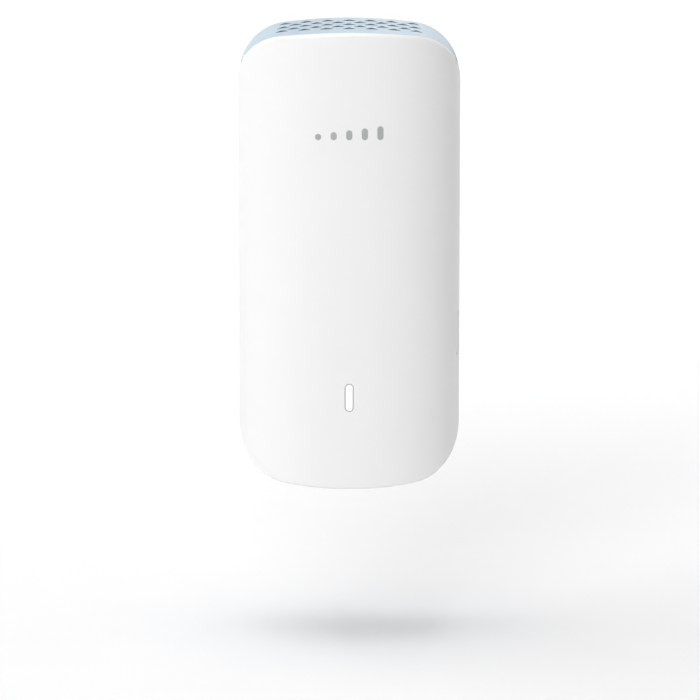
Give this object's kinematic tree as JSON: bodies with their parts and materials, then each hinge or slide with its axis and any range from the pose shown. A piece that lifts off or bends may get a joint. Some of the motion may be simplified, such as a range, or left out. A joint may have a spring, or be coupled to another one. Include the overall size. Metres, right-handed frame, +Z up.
{
  "type": "wi-fi range extender",
  "caption": "Plug-in wi-fi range extender with a curved front cover, vented ends, light window, side setup button, network jack and two fixed plug blades.",
  "frame": {"origin": "midway between the two plug blades, on the flat rear face that rests on the wall plate", "axes": "+Z up the wall along the length of the body, +Y out of the rear face into the wall along the blades, so the front faces -Y, +X to the right seen from the front"},
  "size_m": [0.062, 0.059, 0.127],
  "materials": {
    "white_plastic": "satin white moulded plastic",
    "blue_plastic": "satin pale blue moulded plastic",
    "light_window": "milky white light window",
    "label_grey": "blank matt label",
    "blade_metal": "nickel plated brass",
    "carrier_plastic": "plain moulded plastic",
    "spring_brass": "spring brass",
    "brown_board": "paper laminate circuit board",
    "green_board": "green circuit board lacquer",
    "fuse_body": "moulded fuse",
    "black_package": "moulded chip package",
    "white_package": "moulded chip package",
    "copper_coil": "enamelled copper wire",
    "dark_sleeve": "capacitor sleeve",
    "ferrite": "ferrite",
    "yellow_tape": "winding tape",
    "blue_coat": "dipped capacitor coating",
    "gold_contact": "gold plated contact",
    "insulator": "insulating sheet",
    "screw_steel": "zinc plated steel",
    "tinned_steel": "tinned steel",
    "pad_silicone": "soft thermal pad",
    "spreader_aluminium": "plain aluminium",
    "jack_plastic": "black moulded plastic",
    "led_body": "light emitting diode package",
    "aerial_board": "thin aerial circuit board",
    "cable_jacket": "coaxial cable jacket",
    "ceramic_tan": "ceramic",
    "gasket_foam": "dense foam"
  },
  "bodies": {
    "body": {"front_cover": "white_plastic", "rear_housing": "white_plastic", "top_vent_panel": "blue_plastic", "bottom_vent_panel": "blue_plastic", "status_window": "light_window", "rating_label": "label_grey", "live_blade": "blade_metal", "neutral_blade": "blade_metal", "blade_carrier": "carrier_plastic", "blade_springs": "spring_brass", "power_board": "brown_board", "mains_fuse": "fuse_body", "bridge_rectifier": "black_package", "mains_choke": "copper_coil", "bulk_capacitors": "dark_sleeve", "transformer_core": "ferrite", "transformer_winding": "yellow_tape", "isolation_capacitor": "blue_coat", "optocoupler": "white_package", "power_controller": "black_package", "output_rectifier": "black_package", "output_capacitors": "dark_sleeve", "board_link_pins": "gold_contact", "board_link_socket": "black_package", "board_carrier": "carrier_plastic", "insulation_sheet": "insulator", "power_board_screws": "screw_steel", "main_board": "green_board", "main_board_screws": "screw_steel", "processor": "black_package", "memory_chip": "black_package", "flash_chip": "black_package", "radio_chips": "black_package", "radio_shield_frames": "tinned_steel", "radio_shield_lids": "tinned_steel", "thermal_pads": "pad_silicone", "heat_spreader": "spreader_aluminium", "network_jack": "jack_plastic", "network_jack_contacts": "gold_contact", "network_jack_shield": "tinned_steel", "network_transformer": "black_package", "status_led": "led_body", "setup_switch": "jack_plastic", "reset_switch": "jack_plastic", "aerial_left": "aerial_board", "aerial_right": "aerial_board", "aerial_top_left": "aerial_board", "aerial_top_right": "aerial_board", "aerial_connectors": "gold_contact", "aerial_cables": "cable_jacket", "clock_crystals": "tinned_steel", "board_inductors": "ferrite", "board_capacitors": "ceramic_tan", "light_gasket": "gasket_foam"},
    "setup_button": {"setup_button": "white_plastic"},
    "setup_plunger": {"setup_plunger": "carrier_plastic"},
    "reset_plunger": {"reset_plunger": "carrier_plastic"}
  },
  "joints": [
    {"name": "setup_press", "type": "slide", "parent": "body", "child": "setup_button", "axis": [-1, 0, 0], "range_m": [0, 0.0003], "stiffness_N_per_m": 4000, "springref_m": -0.0001},
    {"name": "setup_plunger_slide", "type": "slide", "parent": "body", "child": "setup_plunger", "axis": [-1, 0, 0], "range_m": [0, 0.0003]},
    {"name": "reset_press", "type": "slide", "parent": "body", "child": "reset_plunger", "axis": [0, 0, 1], "range_m": [0, 0.0003], "stiffness_N_per_m": 4000, "springref_m": -0.0001}
  ],
  "couplings": [
    {"joint": "setup_plunger_slide", "follows": "setup_press", "ratio": 1}
  ]
}
